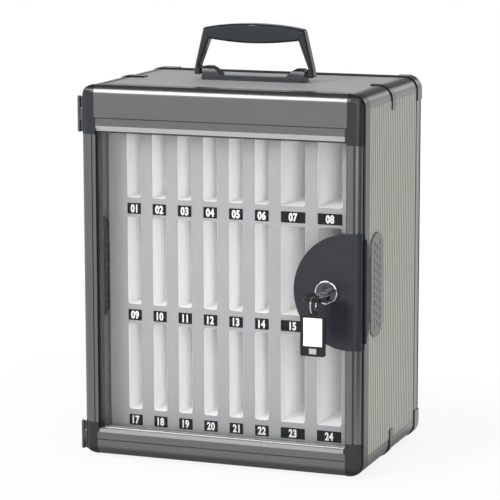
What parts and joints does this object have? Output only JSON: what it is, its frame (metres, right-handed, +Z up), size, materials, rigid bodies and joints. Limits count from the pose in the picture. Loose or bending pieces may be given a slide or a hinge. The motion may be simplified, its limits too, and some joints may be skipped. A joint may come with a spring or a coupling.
{
  "type": "phone locker box",
  "caption": "Lockable aluminium-framed carry box with a clear hinged door, rows of numbered phone slots and a folding handle.",
  "frame": {"origin": "middle of the box's footprint, on the surface that the rubber feet stand on", "axes": "+Z up, +X to the right of someone facing the door, -Y out of the door, +Y towards the back"},
  "size_m": [0.3381, 0.2722, 0.4875],
  "materials": {
    "anodised_frame": "satin anodised aluminium profile",
    "rear_frame_plastic": "dark moulded frame, fine grain",
    "back_sheet": "flat dark sheet",
    "ribbed_panel": "anodised sheet with upright ribs",
    "deck_panel": "flat painted sheet",
    "clip_plastic": "dark moulded plastic, fine grain",
    "vent_plastic": "moulded grille, satin",
    "foot_rubber": "matte rubber",
    "steel": "zinc plated steel",
    "hinge_steel": "dark plated steel",
    "insert_plastic": "moulded pale plastic, satin",
    "number_black": "black plates with plain numerals",
    "handle_plastic": "moulded plastic, fine grain",
    "lock_plastic": "moulded plastic, fine grain",
    "clear_acrylic": "clear acrylic sheet",
    "gasket_rubber": "black extruded rubber",
    "chrome": "bright nickel chrome",
    "plug_metal": "satin zinc",
    "key_plastic": "black moulded plastic",
    "tag_card": "blank white card"
  },
  "bodies": {
    "root": {"front_frame": "anodised_frame", "rear_frame": "rear_frame_plastic", "back_panel": "back_sheet", "left_side_panel": "ribbed_panel", "right_side_panel": "ribbed_panel", "top_panel": "deck_panel", "bottom_panel": "deck_panel", "edge_top_left": "anodised_frame", "edge_top_right": "anodised_frame", "edge_bottom_left": "anodised_frame", "edge_bottom_right": "anodised_frame", "middle_clips": "clip_plastic", "rear_clips": "clip_plastic", "left_vent": "vent_plastic", "right_vent": "vent_plastic", "feet": "foot_rubber", "foot_screws": "steel", "insert_back": "insert_plastic", "insert_top_rail": "insert_plastic", "number_rail_top": "insert_plastic", "number_rail_middle": "insert_plastic", "number_rail_bottom": "insert_plastic", "dividers_top": "insert_plastic", "dividers_middle": "insert_plastic", "dividers_bottom": "insert_plastic", "number_plates": "number_black", "handle_base": "handle_plastic", "handle_pins": "steel", "handle_screws": "steel", "lock_guard": "lock_plastic", "hinge_leaves_body": "hinge_steel", "hinge_pins": "steel", "hinge_screws_body": "steel"},
    "door": {"hinge_leaves_door": "hinge_steel", "hinge_screws_door": "steel", "door_top_rail": "anodised_frame", "door_bottom_rail": "anodised_frame", "door_left_stile": "anodised_frame", "door_right_stile": "anodised_frame", "door_corner_top_left": "clip_plastic", "door_corner_top_right": "clip_plastic", "door_corner_bottom_left": "clip_plastic", "door_corner_bottom_right": "clip_plastic", "window": "clear_acrylic", "window_gasket": "gasket_rubber", "lock_cover": "lock_plastic", "lock_barrel": "chrome", "lock_nut": "steel"},
    "plug": {"lock_plug": "plug_metal", "lock_cam": "steel", "cam_screw": "steel"},
    "key": {"key_blade": "chrome", "key_bow": "key_plastic"},
    "ring": {"key_ring": "chrome"},
    "tag": {"tag_case": "key_plastic", "tag_card": "tag_card"},
    "handle": {"handle_grip": "handle_plastic"}
  },
  "joints": [
    {"name": "door_hinge", "type": "hinge", "parent": "root", "child": "door", "pos_m": [-0.1691, -0.07305, 0.214], "axis": [0, 0, -1], "range_deg": [0, 180]},
    {"name": "handle_fold", "type": "hinge", "parent": "root", "child": "handle", "pos_m": [0, 0.0336, 0.4324], "axis": [1, 0, 0], "range_deg": [-90, 90]},
    {"name": "lock_turn", "type": "hinge", "parent": "door", "child": "plug", "pos_m": [0.1241, -0.0779, 0.2085], "axis": [0, 1, 0], "range_deg": [0, 90]},
    {"name": "key_pull", "type": "slide", "parent": "plug", "child": "key", "axis": [0, -1, 0], "range_m": [0, 0.024]},
    {"name": "ring_swing", "type": "hinge", "parent": "key", "child": "ring", "pos_m": [0.1241, -0.1264, 0.212], "axis": [0, 1, 0], "range_deg": [-20, 20]},
    {"name": "tag_swing", "type": "hinge", "parent": "ring", "child": "tag", "pos_m": [0.1241, -0.1264, 0.1942], "axis": [0, 1, 0], "range_deg": [-30, 30]}
  ]
}
